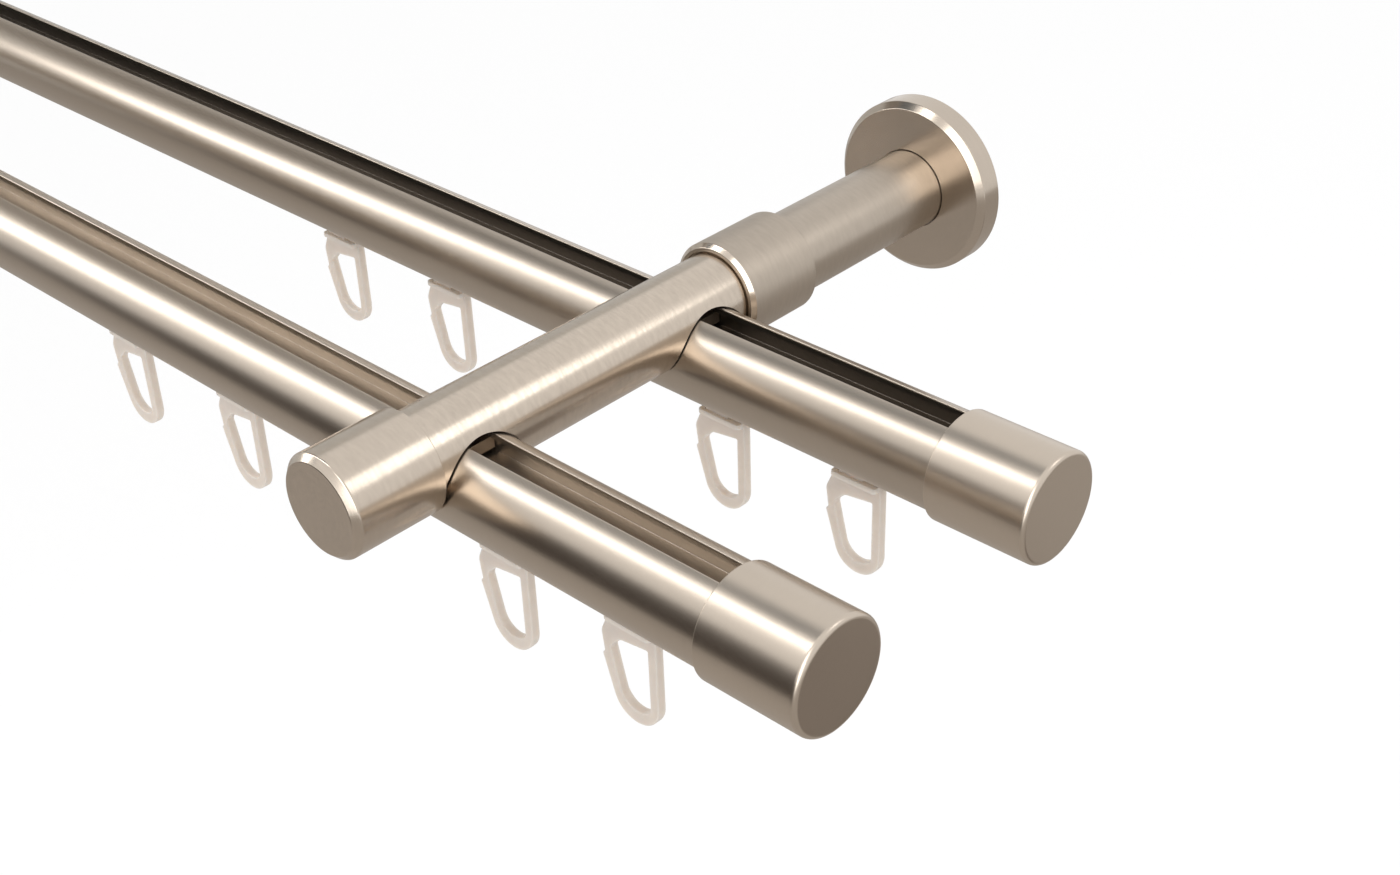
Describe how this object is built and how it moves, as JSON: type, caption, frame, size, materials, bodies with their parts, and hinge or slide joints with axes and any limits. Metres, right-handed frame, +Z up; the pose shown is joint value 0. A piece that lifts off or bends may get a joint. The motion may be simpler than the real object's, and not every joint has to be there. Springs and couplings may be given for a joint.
{
  "type": "double curtain pole",
  "caption": "Double curtain pole: round inner-track poles side by side in saddles under round bracket arms with wall roses, end caps and sliding gliders for curtain hooks.",
  "frame": {"origin": "on the wall's face, midway between the two brackets, at the height of the bracket arms' axes", "axes": "+X along the poles, +Y into the wall, +Z up"},
  "size_m": [1.004, 0.1737, 0.0619],
  "materials": {
    "pole_metal": "satin nickel look",
    "bracket_metal": "brushed satin nickel",
    "fastener_steel": "plain",
    "glider_plastic": "milky, slightly see-through"
  },
  "bodies": {
    "brackets_and_poles": {"wall_rose_right": "bracket_metal", "wall_bar_right": "bracket_metal", "sleeve_right": "bracket_metal", "arm_right": "bracket_metal", "arm_front_cap_right": "bracket_metal", "front_end_cap_right": "bracket_metal", "rear_end_cap_right": "bracket_metal", "wall_rose_left": "bracket_metal", "wall_bar_left": "bracket_metal", "sleeve_left": "bracket_metal", "arm_left": "bracket_metal", "arm_front_cap_left": "bracket_metal", "front_end_cap_left": "bracket_metal", "rear_end_cap_left": "bracket_metal", "sleeve_set_screws": "fastener_steel", "pole_hangers": "fastener_steel", "front_pole": "pole_metal", "rear_pole": "pole_metal"},
    "front_glider_1": {"front_glider_1": "glider_plastic"},
    "front_glider_2": {"front_glider_2": "glider_plastic"},
    "front_glider_3": {"front_glider_3": "glider_plastic"},
    "front_glider_4": {"front_glider_4": "glider_plastic"},
    "front_glider_5": {"front_glider_5": "glider_plastic"},
    "front_glider_6": {"front_glider_6": "glider_plastic"},
    "front_glider_7": {"front_glider_7": "glider_plastic"},
    "front_glider_8": {"front_glider_8": "glider_plastic"},
    "rear_glider_1": {"rear_glider_1": "glider_plastic"},
    "rear_glider_2": {"rear_glider_2": "glider_plastic"},
    "rear_glider_3": {"rear_glider_3": "glider_plastic"},
    "rear_glider_4": {"rear_glider_4": "glider_plastic"},
    "rear_glider_5": {"rear_glider_5": "glider_plastic"},
    "rear_glider_6": {"rear_glider_6": "glider_plastic"},
    "rear_glider_7": {"rear_glider_7": "glider_plastic"},
    "rear_glider_8": {"rear_glider_8": "glider_plastic"}
  },
  "joints": [
    {"name": "front_glider_1_slide", "type": "slide", "parent": "brackets_and_poles", "child": "front_glider_1", "axis": [1, 0, 0], "range_m": [-0.00935, 0.0222]},
    {"name": "front_glider_2_slide", "type": "slide", "parent": "brackets_and_poles", "child": "front_glider_2", "axis": [1, 0, 0], "range_m": [-0.03465, 0.00935]},
    {"name": "front_glider_3_slide", "type": "slide", "parent": "brackets_and_poles", "child": "front_glider_3", "axis": [1, 0, 0], "range_m": [-0.0132, 0.03465]},
    {"name": "front_glider_4_slide", "type": "slide", "parent": "brackets_and_poles", "child": "front_glider_4", "axis": [1, 0, 0], "range_m": [-0.2907, 0.0132]},
    {"name": "front_glider_5_slide", "type": "slide", "parent": "brackets_and_poles", "child": "front_glider_5", "axis": [1, 0, 0], "range_m": [-0.0132, 0.2907]},
    {"name": "front_glider_6_slide", "type": "slide", "parent": "brackets_and_poles", "child": "front_glider_6", "axis": [1, 0, 0], "range_m": [-0.03465, 0.0132]},
    {"name": "front_glider_7_slide", "type": "slide", "parent": "brackets_and_poles", "child": "front_glider_7", "axis": [1, 0, 0], "range_m": [-0.00935, 0.03465]},
    {"name": "front_glider_8_slide", "type": "slide", "parent": "brackets_and_poles", "child": "front_glider_8", "axis": [1, 0, 0], "range_m": [-0.0222, 0.00935]},
    {"name": "rear_glider_1_slide", "type": "slide", "parent": "brackets_and_poles", "child": "rear_glider_1", "axis": [1, 0, 0], "range_m": [-0.0105, 0.0208]},
    {"name": "rear_glider_2_slide", "type": "slide", "parent": "brackets_and_poles", "child": "rear_glider_2", "axis": [1, 0, 0], "range_m": [-0.0357, 0.0105]},
    {"name": "rear_glider_3_slide", "type": "slide", "parent": "brackets_and_poles", "child": "rear_glider_3", "axis": [1, 0, 0], "range_m": [-0.01225, 0.0357]},
    {"name": "rear_glider_4_slide", "type": "slide", "parent": "brackets_and_poles", "child": "rear_glider_4", "axis": [1, 0, 0], "range_m": [-0.2896, 0.01225]},
    {"name": "rear_glider_5_slide", "type": "slide", "parent": "brackets_and_poles", "child": "rear_glider_5", "axis": [1, 0, 0], "range_m": [-0.01225, 0.2896]},
    {"name": "rear_glider_6_slide", "type": "slide", "parent": "brackets_and_poles", "child": "rear_glider_6", "axis": [1, 0, 0], "range_m": [-0.0357, 0.01225]},
    {"name": "rear_glider_7_slide", "type": "slide", "parent": "brackets_and_poles", "child": "rear_glider_7", "axis": [1, 0, 0], "range_m": [-0.0105, 0.0357]},
    {"name": "rear_glider_8_slide", "type": "slide", "parent": "brackets_and_poles", "child": "rear_glider_8", "axis": [1, 0, 0], "range_m": [-0.0208, 0.0105]}
  ]
}
